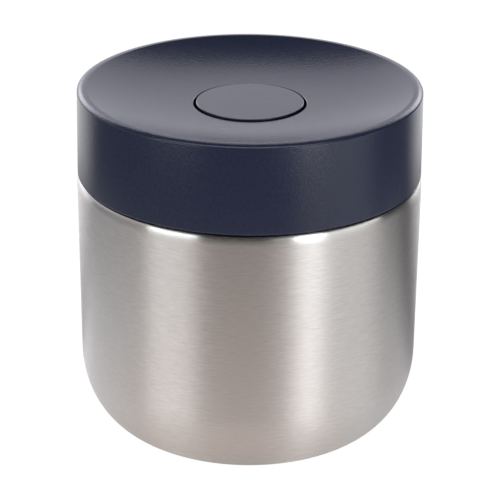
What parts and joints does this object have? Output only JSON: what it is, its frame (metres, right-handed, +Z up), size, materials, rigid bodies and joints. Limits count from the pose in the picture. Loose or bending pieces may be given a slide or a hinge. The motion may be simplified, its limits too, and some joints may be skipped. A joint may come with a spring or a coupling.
{
  "type": "insulated food jar",
  "caption": "Double-walled steel food jar with a rounded foot, a dished screw lid that turns and lifts off, and a round vent button in the lid.",
  "frame": {"origin": "middle of the foot, on the surface that the jar stands on", "axes": "+Z up along the axis of the jar; the jar is round, and the picture looks along +Y and down"},
  "size_m": [0.1004, 0.1004, 0.1035],
  "materials": {
    "brushed_steel": "satin",
    "bright_steel": "polished",
    "solder_glass": "satin",
    "adhesive": "matte",
    "getter_metal": "matte",
    "foil": "polished",
    "lid_plastic": "matte",
    "liner_plastic": "satin",
    "foam": "matte",
    "silicone": "matte",
    "guide_plastic": "satin",
    "spring_steel": "polished"
  },
  "bodies": {
    "jar": {"outer_shell": "brushed_steel", "inner_vessel": "bright_steel", "outer_base": "bright_steel", "vacuum_plug": "solder_glass", "base_cover": "brushed_steel", "base_adhesive": "adhesive", "getter_cup": "bright_steel", "getter": "getter_metal", "radiation_foil": "foil"},
    "seal": {"lid_seal": "silicone"},
    "lid": {"lid_shell": "lid_plastic", "lid_liner": "liner_plastic", "lid_foam": "foam", "vent_tube_o_ring": "silicone", "stem_guide": "guide_plastic", "vent_spring": "spring_steel"},
    "button": {"vent_button": "lid_plastic", "vent_stem": "guide_plastic", "vent_valve": "silicone", "valve_washer": "bright_steel", "valve_screw": "bright_steel"}
  },
  "joints": [
    {"name": "lid_rise", "type": "slide", "parent": "jar", "child": "seal", "axis": [0, 0, 1], "range_m": [0, 0.0241]},
    {"name": "lid_turn", "type": "hinge", "parent": "seal", "child": "lid", "pos_m": [0, 0, 0.085], "axis": [0, 0, 1], "range_deg": [0, 1080]},
    {"name": "button_press", "type": "slide", "parent": "lid", "child": "button", "axis": [0, 0, -1], "range_m": [0, 0.0025], "stiffness_N_per_m": 400, "springref_m": -0.003, "deforming": ["vent_spring"]}
  ],
  "couplings": [
    {"joint": "lid_rise", "follows": "lid_turn", "m_per_rad": 0.0012732}
  ]
}
